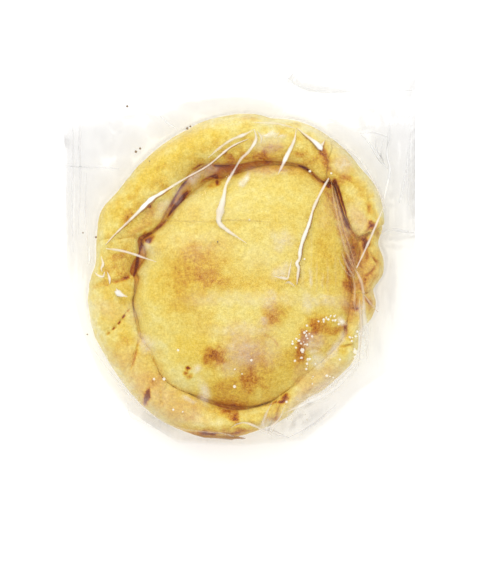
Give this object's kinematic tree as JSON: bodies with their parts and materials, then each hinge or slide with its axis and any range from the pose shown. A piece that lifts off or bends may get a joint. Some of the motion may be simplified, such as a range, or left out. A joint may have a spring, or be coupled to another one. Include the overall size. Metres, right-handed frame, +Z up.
{
  "type": "chicken pastelito",
  "caption": "Round baked pastelito, a domed lid inside a thick rim that is rolled and tucked all round, lying in a clear flat bag with an open top corner.",
  "frame": {"origin": "middle of the pastelito's flat underside, on the surface that it lies on", "axes": "+Z up through the domed lid, +X to the right and +Y to the top of the picture, where the bag opens"},
  "size_m": [0.12, 0.131, 0.0259],
  "materials": {
    "crust": "baked yellow dough, satin, with soft brown patches and darker seams",
    "film": "thin clear crinkled film, glossy, with white creases"
  },
  "bodies": {
    "root": {"pastelito": "crust", "clear_bag": "film"}
  },
  "joints": []
}
